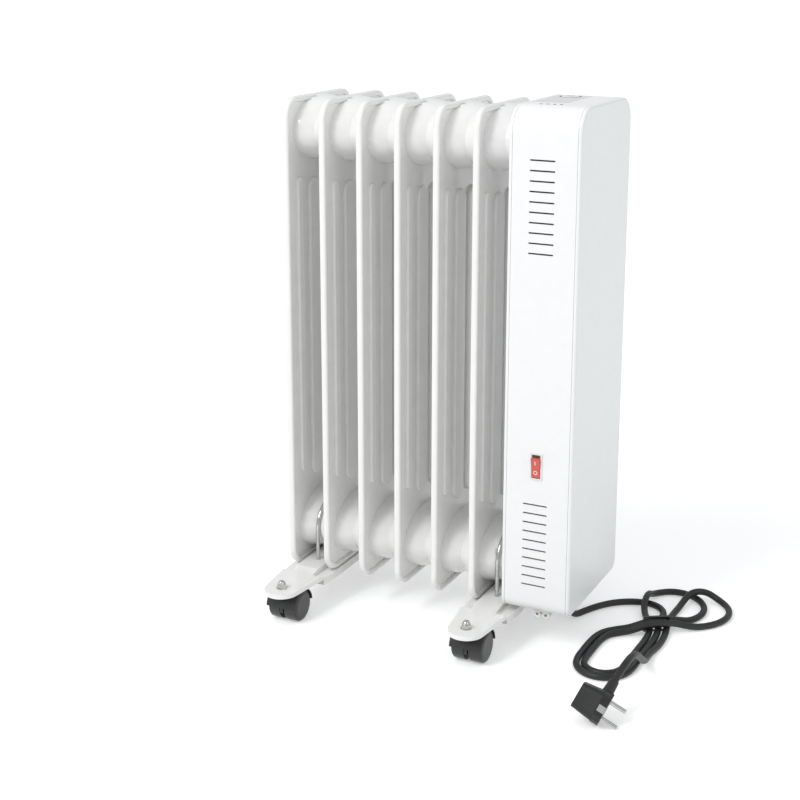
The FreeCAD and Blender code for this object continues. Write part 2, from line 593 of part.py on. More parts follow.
def top_controls():
    """Flush control inlay, push button, lamps and the board that carries them."""
    inlay = block(INLAY_LEFT, INLAY_RIGHT, INLAY_FRONT, INLAY_BACK, BOX_TOP - INLAY_THICKNESS, BOX_TOP)
    hole = rod(Vector(BUTTON_X, BUTTON_Y, BOX_TOP - 2), Z_AXIS, BUTTON_DIAMETER + 2 * BUTTON_GAP, 4)
    inlay = inlay.cut(hole)

    under = BOX_TOP - BOX_WALL
    cap_low = under - BUTTON_GAP - BUTTON_COLLAR
    cap_top = BOX_TOP + BUTTON_PROUD
    cap = rod(Vector(BUTTON_X, BUTTON_Y, cap_low), Z_AXIS, BUTTON_DIAMETER, cap_top - cap_low)
    rim = [e for e in cap.Edges if abs(e.CenterOfMass.z - cap_top) < NEAR]
    cap = cap.makeFillet(BUTTON_PROUD * 0.8, rim)
    collar_diameter = BUTTON_DIAMETER + 2 * BUTTON_COLLAR_RIM
    collar = rod(Vector(BUTTON_X, BUTTON_Y, cap_low), Z_AXIS, collar_diameter, BUTTON_COLLAR)
    plunger_low = BOARD_TOP + BUTTON_TRAVEL + BUTTON_REST
    plunger = ring(Vector(BUTTON_X, BUTTON_Y, plunger_low), Z_AXIS, PLUNGER_DIAMETER, PLUNGER_BORE,
                   cap_low - plunger_low)
    button = fuse(cap, collar, plunger)
    spring = ring(Vector(BUTTON_X, BUTTON_Y, BOARD_TOP), Z_AXIS, SPRING_DIAMETER,
                  SPRING_DIAMETER - 2 * SPRING_WIRE, cap_low - BUTTON_TRAVEL - SPRING_GAP - BOARD_TOP)

    board = block(BOARD_LEFT, BOARD_RIGHT, BOARD_FRONT, BOARD_BACK, BOARD_LOW, BOARD_TOP)
    half = CONTACT_BASE / 2
    contact = block(BUTTON_X - half, BUTTON_X + half, BUTTON_Y - half, BUTTON_Y + half, BOARD_TOP,
                    BOARD_TOP + CONTACT_BASE_HEIGHT)
    tip = rod(Vector(BUTTON_X, BUTTON_Y, BOARD_TOP), Z_AXIS, CONTACT_DIAMETER, CONTACT_HEIGHT)
    contact = fuse(contact, tip)
    relay_left = BOARD_LEFT + RELAY_FROM_LEFT
    relay_front = BOARD_FRONT + RELAY_FROM_FRONT
    relay = block(relay_left, relay_left + RELAY[0], relay_front, relay_front + RELAY[1],
                  BOARD_LOW - RELAY[2], BOARD_LOW)
    lamps = []
    for x in lamp_centres():
        lamps.append(rod(Vector(x, LAMP_Y, BOARD_TOP), Z_AXIS, LAMP_DIAMETER - 2 * LAMP_FIT,
                         BOX_TOP + LAMP_PROUD - BOARD_TOP))
    spacers = []
    for x in (BOARD_LEFT + SPACER_INSET, BOARD_RIGHT - SPACER_INSET):
        for y in (-SPACER_Y, SPACER_Y):
            spacers.append(rod(Vector(x, y, BOARD_TOP), Z_AXIS, SPACER_DIAMETER, under - BOARD_TOP))
    return {
        "control_inlay": inlay,
        "power_button": button,
        "button_spring": spring,
        "control_board": Part.makeCompound([board, contact, relay]),
        "indicator_lamps": Part.makeCompound(lamps),
        "board_spacers": Part.makeCompound(spacers),
    }


def rocker_switch():
    """The lit rocker and its bezel body. At rest the rocker's upper end stands out."""
    half = ROCKER_HEIGHT / 2
    points = (
        (-ROCKER_RADIUS + 0.2, half), (-ROCKER_RADIUS + ROCKER_DISH, 0.0), (-ROCKER_RADIUS + 0.2, -half),
        (-1.0, -half + 1.2), (3.6, -4.0), (3.6, 4.0), (-1.0, half - 1.2),
    )
    left = -ROCKER_WIDTH / 2
    outline = [Vector(left, y, z) for y, z in points]
    outline.append(outline[0])
    paddle = Part.Face(Part.makePolygon(outline)).extrude(Vector(ROCKER_WIDTH, 0, 0))
    pin = rod(Vector(left - 1.6, 0, 0), X_AXIS, ROCKER_PIN, ROCKER_WIDTH + 3.2)
    rocker = fuse(paddle, pin)
    rocker.rotate(Vector(0, 0, 0), X_AXIS, ROCKER_TILT)
    rocker.translate(Vector(SWITCH_X, PIVOT_Y, SWITCH_Z))

    inner_x = ROCKER_WIDTH / 2 + ROCKER_GAP
    inner_z = half + WELL_CLEARANCE
    rim_x = inner_x + BEZEL_RIM
    rim_z = inner_z + BEZEL_RIM
    rim = block(SWITCH_X - rim_x, SWITCH_X + rim_x, BOX_FRONT - BEZEL_PROUD, BOX_FRONT,
                SWITCH_Z - rim_z, SWITCH_Z + rim_z)
    body = block(SWITCH_X - CUT_WIDTH / 2, SWITCH_X + CUT_WIDTH / 2, BOX_FRONT, BOX_FRONT + SWITCH_DEPTH,
                 SWITCH_Z - CUT_HEIGHT / 2, SWITCH_Z + CUT_HEIGHT / 2)
    well = block(SWITCH_X - inner_x, SWITCH_X + inner_x, BOX_FRONT - BEZEL_PROUD - 1, PIVOT_Y + WELL_DEPTH,
                 SWITCH_Z - inner_z, SWITCH_Z + inner_z)
    pin_hole = rod(Vector(SWITCH_X - inner_x - 2, PIVOT_Y, SWITCH_Z), X_AXIS, ROCKER_PIN + 2 * PIN_FIT,
                   2 * inner_x + 4)
    body = fuse(rim, body).cut([well, pin_hole])
    blades = []
    back = BOX_FRONT + SWITCH_DEPTH
    for number in (-1, 0, 1):
        z = SWITCH_Z + number * BLADE_PITCH
        blades.append(block(SWITCH_X - BLADE[0] / 2, SWITCH_X + BLADE[0] / 2, back, back + BLADE[1],
                            z - BLADE[2] / 2, z + BLADE[2] / 2))
    return {"power_rocker": rocker, "rocker_switch_body": Part.makeCompound([body] + blades)}


def electrics():
    """Thermostat on the upper neck, tip-over switch, terminal block and bundled wiring."""
    wall = BOX_LEFT + BOX_WALL
    disc = rod(Vector(wall, 0, HIGH_AXIS), X_AXIS, THERMOSTAT_DIAMETER, THERMOSTAT_THICKNESS)
    tab_start = wall + THERMOSTAT_THICKNESS
    length, width, thickness = THERMOSTAT_TAB
    tabs = block(tab_start, tab_start + length, -width / 2, width / 2, HIGH_AXIS - thickness / 2,
                 HIGH_AXIS + thickness / 2)
    thermostat = fuse(disc, tabs)
    tilt_low = LOW_AXIS + TIP_SWITCH_LIFT
    tilt = block(wall, wall + TIP_SWITCH[0], -TIP_SWITCH[1] / 2, TIP_SWITCH[1] / 2, tilt_low,
                 tilt_low + TIP_SWITCH[2])
    middle, lift = TERMINAL_PLACE
    terminal = block(wall, wall + TERMINAL[0], middle - TERMINAL[1] / 2, middle + TERMINAL[1] / 2,
                     LOW_AXIS + lift, LOW_AXIS + lift + TERMINAL[2])
    start = Vector(wall + LOOM_FROM_PLATE, LOOM_Y, LOW_AXIS + LOOM_LIFT)
    loom = rod(start, Z_AXIS, LOOM_DIAMETER, BOARD_LOW - start.z)
    clip = block(wall, start.x + LOOM_DIAMETER / 2 + CLIP_RIM, LOOM_Y - CLIP_WIDTH / 2,
                 LOOM_Y + CLIP_WIDTH / 2, FIN_MIDDLE, FIN_MIDDLE + CLIP_WIDTH)
    clip = clip.cut(rod(start, Z_AXIS, LOOM_DIAMETER, FIN_HEIGHT))
    return {"thermostat": thermostat, "tip_over_switch": tilt, "terminal_block": terminal,
            "wiring_loom": Part.makeCompound([loom, clip])}


# ---------------------------------------------------------------- feet
def foot_outline(inset, z):
    """The foot's plan: a wide middle that tapers to a round tongue at each end."""
    tip = CASTOR_SPAN / 2
    radius = FOOT_TIP_RADIUS - inset
    half = FOOT_HALF_WIDTH - inset
    run = tip - FOOT_SHOULDER
    reach = math.hypot(run, half)
    bearing = math.atan2(half, run)
    swing = math.asin(radius / reach)
    angle = bearing - swing
    touch_y = tip + radius * math.sin(angle)
    touch_x = radius * math.cos(angle)
    points = []
    for sx, sy in ((1, 1), (-1, 1), (-1, -1), (1, -1)):
        points.append((Vector(sx * half, sy * FOOT_SHOULDER, z), Vector(sx * touch_x, sy * touch_y, z)))
    end = Vector(0, tip + radius, z)
    low_end = Vector(0, -tip - radius, z)
    edges = [
        Part.makeLine(points[0][0], points[0][1]),
        Part.Arc(points[0][1], end, points[1][1]).toShape(),
        Part.makeLine(points[1][1], points[1][0]),
        Part.makeLine(points[1][0], points[2][0]),
        Part.makeLine(points[2][0], points[2][1]),
        Part.Arc(points[2][1], low_end, points[3][1]).toShape(),
        Part.makeLine(points[3][1], points[3][0]),
        Part.makeLine(points[3][0], points[0][0]),
    ]
    return Part.Wire(edges)


def foot_layer(inset, z0, z1):
    return Part.Face(foot_outline(inset, z0)).extrude(Vector(0, 0, z1 - z0))


def wedge_saddle(half_width, rise, half_length, slope, z):
    """The raised middle of the foot, with a slope down to each tongue."""
    foot_y = half_length + slope
    points = ((-foot_y, z), (-half_length, z + rise), (half_length, z + rise), (foot_y, z))
    outline = [Vector(-half_width, y, height) for y, height in points]
    outline.append(outline[0])
    return Part.Face(Part.makePolygon(outline)).extrude(Vector(2 * half_width, 0, 0))


def foot(x):
    """A pressed steel foot: fin seats, raised saddle, castor tongues and a downward skirt."""
    seat = FOOT_TOP
    far = CASTOR_SPAN
    shallow = foot_layer(0.0, seat - FOOT_SHEET, seat)
    outer = foot_layer(0.0, seat - FOOT_SKIRT, seat)
    outer = outer.common(block(-far, far, -FOOT_SKIRT_LENGTH, FOOT_SKIRT_LENGTH, 0, seat))
    tongue = foot_layer(0.0, seat - TIP_SKIRT, seat + FOOT_TIP_RISE)
    start = FOOT_SHOULDER + TONGUE_START
    middle = block(-far, far, -start, start, 0, seat + far)
    tongue = tongue.cut(middle)
    saddle = wedge_saddle(SADDLE_WIDTH / 2, SADDLE_RISE, SADDLE_HALF, SADDLE_SLOPE, seat - NEAR)
    body = fuse(shallow, outer, tongue, saddle)

    hollow = foot_layer(FOOT_SHEET, seat - FOOT_SKIRT - 1, seat - FOOT_SHEET)
    limit = FOOT_SKIRT_LENGTH - FOOT_SHEET
    hollow = hollow.common(block(-far, far, -limit, limit, 0, seat))
    tongue_hollow = foot_layer(FOOT_SHEET, 0, seat + FOOT_TIP_RISE - FOOT_SHEET)
    start += 2 * FOOT_SHEET
    tongue_hollow = tongue_hollow.cut(block(-far, far, -start, start, 0, seat + far))
    under = wedge_saddle(SADDLE_WIDTH / 2 - FOOT_SHEET, SADDLE_RISE, SADDLE_HALF - FOOT_SHEET,
                         SADDLE_SLOPE, seat - FOOT_SHEET)
    body = body.cut([hollow, tongue_hollow, under])
    holes = []
    bolt_hole = U_BOLT_WIRE + 2 * U_BOLT_CLEARANCE
    for side in (-1, 1):
        holes.append(rod(Vector(0, side * CASTOR_SPAN / 2, 0), Z_AXIS, STEM_THREAD + 0.1, far))
        holes.append(rod(Vector(0, side * U_BOLT_SPAN / 2, 0), Z_AXIS, bolt_hole, far))
    body = body.cut(holes)
    body.translate(Vector(x, 0, 0))
    return body


def u_bolt(x):
    """A bent wire that goes over the lower header and clamps the foot."""
    foot_under = FOOT_TOP + SADDLE_RISE - FOOT_SHEET
    low = foot_under - NUT_HEIGHT - U_BOLT_THREAD_END
    spring = LOW_AXIS
    half = U_BOLT_SPAN / 2
    rise = NECK_HEIGHT / 2 + U_BOLT_WIRE / 2 + U_BOLT_TOP_GAP
    curve = Part.Ellipse(Vector(0, half, spring), Vector(0, 0, spring + rise), Vector(0, 0, spring))
    arch = Part.ArcOfEllipse(curve, 0.0, math.pi).toShape()
    ends = sorted([v.Point for v in arch.Vertexes], key=lambda p: p.y)
    arc_low = ends[0]
    path = Part.Wire([
        Part.makeLine(Vector(0, arc_low.y, low), arc_low),
        arch,
        Part.makeLine(ends[1], Vector(0, ends[1].y, low)),
    ])
    section = Part.Wire([Part.makeCircle(U_BOLT_WIRE / 2, Vector(0, arc_low.y, low), Z_AXIS)])
    bolt = path.makePipeShell([section], True, True)
    bolt.translate(Vector(x, 0, 0))
    nuts = []
    for side in (-1, 1):
        place = Vector(x, side * half, foot_under - NUT_HEIGHT)
        nuts.append(hex_nut(place, NUT_WIDTH, NUT_HEIGHT, U_BOLT_WIRE))
    return bolt, nuts


def hex_nut(place, width, height, bore):
    """A hexagon nut standing on a place."""
    outline = []
    for corner in range(7):
        angle = math.radians(60 * corner)
        outline.append(place + Vector(width / math.sqrt(3) * math.cos(angle),
                                      width / math.sqrt(3) * math.sin(angle), 0))
    nut = Part.Face(Part.makePolygon(outline)).extrude(Vector(0, 0, height))
    return nut.cut(rod(place, Z_AXIS, bore, height))


def feet():
    made = {}
    nuts = []
    for name, x in (("left", LEFT_FOOT), ("right", RIGHT_FOOT)):
        made["foot_" + name] = foot(x)
        bolt, pair = u_bolt(x)
        made["u_bolt_" + name] = bolt
        nuts += pair
    made["u_bolt_nuts"] = Part.makeCompound(nuts)
    return made


# ---------------------------------------------------------------- castors
def castor_place(side, end):
    return Vector(LEFT_FOOT if side < 0 else RIGHT_FOOT, end * CASTOR_SPAN / 2, 0)


def castor_stem(place):
    """The fixed stem: a headed pin in the hood, and a thread that goes up through the tongue."""
    tongue_low = FOOT_TOP + FOOT_TIP_RISE - FOOT_SHEET
    tongue_top = FOOT_TOP + FOOT_TIP_RISE
    head_low = place + Vector(0, 0, tongue_low - STEM_HEAD_HEIGHT)
    head = rod(head_low, Z_AXIS, STEM_HEAD, STEM_HEAD_HEIGHT)
    low = stem_low()
    pin = rod(place + Vector(0, 0, low), Z_AXIS, STEM_DIAMETER, tongue_low - low)
    top = tongue_top + WASHER_THICKNESS + CAP_NUT_HEX
    thread = rod(place + Vector(0, 0, tongue_low), Z_AXIS, STEM_THREAD, top - tongue_low)
    return fuse(head, pin, thread)


def stem_low():
    """The stem ends above the rims of the wheels."""
    rim = math.sqrt(HOOD_INNER ** 2 - (CASTOR_TRAIL - STEM_DIAMETER / 2 - 1.0) ** 2)
    return AXLE_HEIGHT + rim + 0.9


def cap_nut(place):
    """A domed nut on its washer."""
    top = FOOT_TOP + FOOT_TIP_RISE
    washer = ring(place + Vector(0, 0, top), Z_AXIS, WASHER_DIAMETER, STEM_THREAD, WASHER_THICKNESS)
    nut = hex_nut(place + Vector(0, 0, top + WASHER_THICKNESS), CAP_NUT_WIDTH, CAP_NUT_HEX, STEM_THREAD)
    ball = Part.makeSphere(CAP_NUT_DOME, place + Vector(0, 0, top + WASHER_THICKNESS + CAP_NUT_HEX))
    crown = ball.common(block(place.x - 9, place.x + 9, place.y - 9, place.y + 9,
                              top + WASHER_THICKNESS + CAP_NUT_HEX, top + 20))
    return [washer, fuse(nut, crown)]


def castor_hood(place, end):
    """The moulded hood: a web between the wheels, a roof over them and the stem socket."""
    axle = place + Vector(0, -end * CASTOR_TRAIL, AXLE_HEIGHT)
    half = WHEEL_INNER + WHEEL_WIDTH
    start = axle - Vector(half, 0, 0)
    roof = ring(start, X_AXIS, 2 * HOOD_OUTER, 2 * HOOD_INNER, 2 * half)
    keep = block(start.x, start.x + 2 * half, axle.y - HOOD_OUTER, axle.y + HOOD_OUTER,
                 axle.z + HOOD_ROOF_LOW, axle.z + HOOD_OUTER)
    roof = roof.common(keep)
    web = rod(axle - Vector(HOOD_WEB / 2, 0, 0), X_AXIS, 2 * HOOD_INNER + 0.4, HOOD_WEB)
    web = web.common(block(start.x, start.x + 2 * half, axle.y - HOOD_OUTER, axle.y + HOOD_OUTER,
                           axle.z - HOOD_WEB_LOW, axle.z + HOOD_OUTER))
    top = FOOT_TOP + FOOT_TIP_RISE - FOOT_SHEET - STEM_HEAD_HEIGHT - STEM_HEAD_GAP
    low = stem_low() - 0.4
    socket_low = low - SOCKET_FLOOR
    socket_width = STEM_DIAMETER + 2 * SOCKET_WALL
    socket = rod(Vector(place.x, place.y, socket_low), Z_AXIS, socket_width, top - socket_low)
    socket = socket.cut(rod(axle - Vector(half, 0, 0), X_AXIS, 2 * HOOD_INNER, 2 * half))
    hood = fuse(roof, web, socket)
    bore = rod(Vector(place.x, place.y, low), Z_AXIS, STEM_DIAMETER + 2 * RUN_FIT, FIN_BOTTOM)
    axle_bore = rod(start, X_AXIS, AXLE_DIAMETER, 2 * half)
    return hood.cut([bore, axle_bore])


def castor_axle(place, end):
    """The steel axle, pressed into the hood's web."""
    axle = place + Vector(0, -end * CASTOR_TRAIL, AXLE_HEIGHT)
    half = WHEEL_INNER + WHEEL_WIDTH - 5.0
    return rod(axle - Vector(half, 0, 0), X_AXIS, AXLE_DIAMETER, 2 * half)


def castor_wheel(place, end, side):
    """One of the twin wheels, turned to a domed outer face, running on the axle."""
    bore = AXLE_DIAMETER / 2 + RUN_FIT
    outer = WHEEL_INNER + WHEEL_WIDTH
    blind = outer - HUB_CAP
    profile = (
        (WHEEL_INNER, bore), (WHEEL_INNER, WHEEL_RADIUS - 0.8), (WHEEL_INNER + 0.8, WHEEL_RADIUS),
        (outer - 3.0, WHEEL_RADIUS), (outer - 1.2, WHEEL_RADIUS - 1.6), (outer, WHEEL_RADIUS - 6.0),
        (outer, 0.0), (blind, 0.0), (blind, bore),
    )
    outline = [Vector(side * x, 0, r) for x, r in profile]
    outline.append(outline[0])
    wheel = Part.Face(Part.makePolygon(outline)).revolve(Vector(0, 0, 0), X_AXIS, 360)
    wheel.translate(place + Vector(0, -end * CASTOR_TRAIL, AXLE_HEIGHT))
    return wheel


def castors():
    made = {}
    stems = []
    nuts = []
    for name, side, end in CORNERS:
        place = castor_place(side, end)
        stems.append(castor_stem(place))
        nuts += cap_nut(place)
        made["castor_hood_" + name] = castor_hood(place, end)
        made["castor_axle_" + name] = castor_axle(place, end)
        made["wheel_" + name + "_a"] = castor_wheel(place, end, -1)
        made["wheel_" + name + "_b"] = castor_wheel(place, end, 1)
    made["castor_stems"] = Part.makeCompound(stems)
    made["cap_nuts"] = Part.makeCompound(nuts)
    return made


# ---------------------------------------------------------------- mains lead
# route of the loose lead, chosen by hand: out of the gland, down to the floor, round to the hank
LEAD_ROUTE = (
    (153.5, 14.0, 27.0), (153.5, 14.0, 19.4), (154.7, 16.7, 12.4), (156.8, 21.6, 7.0), (159.7, 28.0, 4.1),
    (165.0, 40.5, 4.1), (171.5, 54.0, 4.1), (180.5, 68.5, 4.1), (192.5, 81.5, 4.1), (206.5, 90.5, 4.1),
    (219.5, 95.0, 4.1),
)
# route from the hank towards the plug, up to the last run, which leaves the plug's sleeve
TAIL_ROUTE = (
    (266.3, -31.0, 6.4), (269.4, -48.6, 6.4), (272.9, -67.8, 11.4), (276.4, -90.8, 25.5),
    (279.3, -112.5, 40.5), (280.7, -128.6, 49.2), (280.9, -142.2, 52.6), (280.0, -155.7, 52.2),
)
TAIL_LAST_RUN = 13.5
LEAD_DOOR = 9.0            # half the width of the hank's side where the lead runs in
TAIL_DOOR = 6.0
# outline of the tied hank on the floor, between the doors and the waist: clockwise from the lead's door
HANK_BACK_LOOPS = (
    (224.5, 124.0), (235.5, 139.0), (255.5, 147.0), (279.5, 149.0), (305.5, 144.0), (323.5, 132.0),
    (332.5, 114.0), (331.5, 94.0), (321.5, 78.0), (303.5, 66.0), (283.5, 54.0),
)
HANK_RIGHT_SIDE = ((269.0, 14.0), (270.5, -12.0))
HANK_FRONT_LOOP = (
    (259.5, -62.0), (258.0, -92.0), (249.5, -114.0), (233.5, -121.0), (214.5, -108.0), (201.5, -86.0),
    (196.5, -56.0), (196.5, -24.0), (202.5, 2.0), (217.5, 16.0),
)
HANK_LEFT_SIDE = ((241.0, 45.0), (232.5, 58.0), (226.0, 72.0))
TIE_MIDDLE = Vector(256.0, 35.0, 0)
TIE_LINE = Vector(0.86, 0.51, 0).normalize()      # across the hank's waist
WAIST_EDGE = 4.0           # half the length of the waist's straight sides


def tube_along(route, diameter):
    """Straight runs joined by tangent arcs, as large as the runs allow."""
    points = [Vector(*p) for p in route]
    edges = []
    start = points[0]
    radii = []
    length = 0.0
    for before, here, after in zip(points, points[1:], points[2:]):
        back = before - here
        ahead = after - here
        turn = math.pi - back.getAngle(ahead)
        cut = 0.45 * min(back.Length, ahead.Length)
        radius = cut / math.tan(turn / 2)
        radii.append(radius)
        enter = here + back.normalize() * cut
        leave = here + ahead.normalize() * cut
        inward = (back + ahead).normalize()
        centre = here + inward * (radius / math.cos(turn / 2))
        middle = centre - inward * radius
        edges.append(Part.makeLine(start, enter))
        edges.append(Part.Arc(enter, middle, leave).toShape())
        length += edges[-1].Length + edges[-2].Length
        start = leave
    edges.append(Part.makeLine(start, points[-1]))
    length += edges[-1].Length
    path = Part.Wire(edges)
    section = Part.Wire([Part.makeCircle(diameter / 2, points[0], points[1] - points[0])])
    tube = path.makePipeShell([section], True, True)
    expected = math.pi * diameter ** 2 / 4 * length
    print("tube: length %.1f, radii %s, volume share %.4f"
          % (length, [round(r, 1) for r in radii], tube.Volume / expected))
    return tube


def gland():
    """Strain relief in the floor of the box: collar, neck through the wall, inner nut and tapered sleeve."""
    x, y, tip = LEAD_ROUTE[0]
    floor = BOX_BOTTOM
    collar_low = floor - GLAND_FLANGE_THICKNESS
    collar = rod(Vector(x, y, collar_low), Z_AXIS, GLAND_FLANGE, GLAND_FLANGE_THICKNESS)
    neck = rod(Vector(x, y, floor), Z_AXIS, GLAND_NECK, BOX_WALL + GLAND_NECK_LENGTH)
    nut = rod(Vector(x, y, floor + BOX_WALL), Z_AXIS, GLAND_FLANGE, GLAND_NUT)
    tip_radius = CORD_RADIUS + SLEEVE_WALL
    sleeve = Part.makeCone(tip_radius, GLAND_NECK / 2, collar_low - tip, Vector(x, y, tip), Z_AXIS)
    body = fuse(collar, neck, nut, sleeve)
    return body.cut(rod(Vector(x, y, floor + BOX_WALL), Z_AXIS, CORD_DIAMETER, 2 * GLAND_NECK_LENGTH))


def door(end, before, half):
    """The two corners of a flat stretch of the hank's side, square to a run of the lead that ends in it."""
    here = Vector(end[0], end[1], CORD_LIFT)
    run = here - Vector(before[0], before[1], CORD_LIFT)
    across = Z_AXIS.cross(run).normalize() * half
    return here - across, here + across


def waist(side):
    """The two corners of the hank's straight side under the tie."""
    middle = Vector(TIE_MIDDLE.x, TIE_MIDDLE.y, CORD_LIFT) + TIE_LINE * (side * HANK_WAIST / 2)
    along = Z_AXIS.cross(TIE_LINE) * (side * WAIST_EDGE)
    return middle + along, middle - along


def hank():
    """The tied part of the lead, as one solid of its outer shape, with a groove under it for the tie."""
    outline = list(door(LEAD_ROUTE[-1], LEAD_ROUTE[-2], LEAD_DOOR))
    outline += [Vector(x, y, CORD_LIFT) for x, y in HANK_BACK_LOOPS]
    outline += waist(1)
    outline += [Vector(x, y, CORD_LIFT) for x, y in HANK_RIGHT_SIDE]
    outline += door(TAIL_ROUTE[0], TAIL_ROUTE[1], TAIL_DOOR)
    outline += [Vector(x, y, CORD_LIFT) for x, y in HANK_FRONT_LOOP]
    outline += waist(-1)
    outline += [Vector(x, y, CORD_LIFT) for x, y in HANK_LEFT_SIDE]
    outline.append(outline[0])
    body = Part.Face(Part.makePolygon(outline)).extrude(Vector(0, 0, HANK_HEIGHT))
    groove = tie_block(TIE_WIDTH + 2 * TIE_GAP, HANK_WAIST, 0.0, CORD_LIFT + TIE_THICKNESS + TIE_GAP)
    return body.cut(groove)


def tie_block(width, length, z0, z1):
    """A box across the hank's waist."""
    shape = block(-length / 2, length / 2, -width / 2, width / 2, z0, z1)
    shape.rotate(Vector(0, 0, 0), Z_AXIS, math.degrees(math.atan2(TIE_LINE.y, TIE_LINE.x)))
    shape.translate(TIE_MIDDLE)
    return shape


def tie():
    """A flat band round the hank's waist."""
    inner = HANK_WAIST + 2 * TIE_GAP
    band = tie_block(TIE_WIDTH, inner + 2 * TIE_THICKNESS, CORD_LIFT, HANK_TOP + TIE_GAP + TIE_THICKNESS)
    return band.cut(tie_block(2 * TIE_WIDTH, inner, CORD_LIFT + TIE_THICKNESS, HANK_TOP + TIE_GAP))


def plug_frame():
    """The way the pins point, the line from one pin to the other, and the way to the second earth contact."""
    out = Vector(PLUG_OUT).normalize()
    line = PLUG_LINE - out * PLUG_LINE.dot(out)
    line.normalize()
    return out, line, out.cross(line)


def sleeve_local():
    """Start and direction of the plug's sleeve, in the plug's own axes."""
    lean = math.radians(PLUG_SLEEVE_LEAN)
    return Vector(PLUG_SLEEVE[0], PLUG_SLEEVE[1], 0), Vector(0, -math.cos(lean), math.sin(lean))


def plug_body_local():
    """Side-entry earthed plug drawn with its pins along +X and its pin line along +Y."""
    face = rod(Vector(-PLUG_FACE_THICKNESS, 0, 0), X_AXIS, PLUG_FACE_DIAMETER, PLUG_FACE_THICKNESS)
    wide = PLUG_FACE_DIAMETER
    face = face.common(block(-PLUG_FACE_THICKNESS, 0, -wide, wide, -PLUG_FLATS / 2, PLUG_FLATS / 2))
    front = rounded_wire(-PLUG_FACE_THICKNESS, -17.0, 17.0, -15.5, 15.5, 7.0, 7.0)
    back = rounded_wire(-PLUG_GRIP, -13.0, 15.0, -13.0, 13.0, 5.0, 5.0)
    grip = Part.makeLoft([front, back], True, True)
    start, along = sleeve_local()
    tip = CORD_RADIUS + SLEEVE_WALL
    sleeve = Part.makeCone(PLUG_SLEEVE_ROOT, tip, PLUG_SLEEVE_LENGTH, start, along)
    return fuse(face, grip, sleeve)


def plug():
    """The plug with its pins and side earth contacts, resting on the floor, and where its lead starts."""
    out, line, third = plug_frame()
    body = plug_body_local()
    pins = []
    for side in (-1, 1):
        y = side * PIN_SPACING / 2
        pin = rod(Vector(0, y, 0), X_AXIS, PIN_DIAMETER, PIN_LENGTH)
        tip = [e for e in pin.Edges if abs(e.CenterOfMass.x - PIN_LENGTH) < NEAR]
        pin = pin.makeFillet(PIN_TIP_ROUND, tip)
        pins.append(fuse(pin, rod(Vector(-PIN_ROOT, y, 0), X_AXIS, PIN_ROOT_DIAMETER, PIN_ROOT)))
    clips = []
    length, width, thickness = CLIP_PLUG
    for side in (-1, 1):
        z0, z1 = sorted((side * PLUG_FLATS / 2, side * (PLUG_FLATS / 2 - thickness)))
        clips.append(block(-length, 0.0, -width / 2, width / 2, z0, z1))
    body = body.cut(pins + clips)
    solids = {"plug_body": body, "plug_pins": Part.makeCompound(pins),
              "plug_earth_clips": Part.makeCompound(clips)}
    origin = Vector(PLUG_CENTRE[0], PLUG_CENTRE[1], 0)
    lowest = min(placed(s, origin, out, line).BoundBox.ZMin for s in solids.values())
    origin.z = CORD_LIFT - lowest
    start, along = sleeve_local()
    end = start + along * PLUG_SLEEVE_LENGTH
    end_place = origin + out * end.x + line * end.y + third * end.z
    heading = out * along.x + line * along.y + third * along.z
    return {name: placed(s, origin, out, line) for name, s in solids.items()}, end_place, heading


def cord_hook():
    """Two-lobed moulded clip under the front of the box, which parks the lead."""
    x = BOX_LEFT + HOOK_FROM_LEFT
    y = BOX_FRONT + HOOK_FROM_FRONT
    low = BOX_BOTTOM - HOOK_PAD[2]
    half_x = HOOK_PAD[0] / 2
    half_y = HOOK_PAD[1] / 2
    pad = block(x - half_x, x + half_x, y - half_y, y + half_y, low, BOX_BOTTOM)
    lobes = []
    holes = []
    for side in (-1, 1):
        start = Vector(x + side * HOOK_SPREAD, y - HOOK_LENGTH / 2, low - HOOK_DROP)
        lobes.append(rod(start, Y_AXIS, HOOK_LOBE, HOOK_LENGTH))
        holes.append(rod(start, Y_AXIS, HOOK_HOLE, HOOK_LENGTH))
    return fuse(pad, *lobes).cut(holes)


# ---------------------------------------------------------------- all nodes
def build():
    nodes = {}
    nodes.update(fins())
    nodes.update(header_ends())
    nodes.update(heater())
    nodes["box_housing"] = housing()
    nodes["box_closing_plate"] = closing_plate()
    nodes["box_end_panel"] = end_panel()
    nodes["closing_screws"] = closing_screws()
    nodes.update(top_controls())
    nodes.update(rocker_switch())
    nodes.update(electrics())
    nodes.update(feet())
    nodes.update(castors())
    nodes["cord_gland"] = gland()
    nodes["cord_lead"] = tube_along(LEAD_ROUTE, CORD_DIAMETER)
    nodes["cord_hank"] = hank()
    nodes["cord_tie"] = tie()
    plug_nodes, sleeve_end, heading = plug()
    tail = TAIL_ROUTE + (sleeve_end + heading * TAIL_LAST_RUN, sleeve_end)
    nodes["cord_tail"] = tube_along(tail, CORD_DIAMETER)
    nodes.update(plug_nodes)
    nodes["cord_hook"] = cord_hook()
    return nodes


def main():
    os.makedirs("parts", exist_ok=True)
    for name, shape in build().items():
        if not shape.isValid():
            print("invalid:", name)
        shape.exportStep("parts/%s.step" % name)
        print("%-28s solids %d volume %.0f" % (name, len(shape.Solids), shape.Volume))


main()
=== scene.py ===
"""Oil filled radiator heater: finishes, smooth pressed panels, the tied mains lead, camera and light."""

import bpy
import json
import math
from mathutils import Matrix, Vector

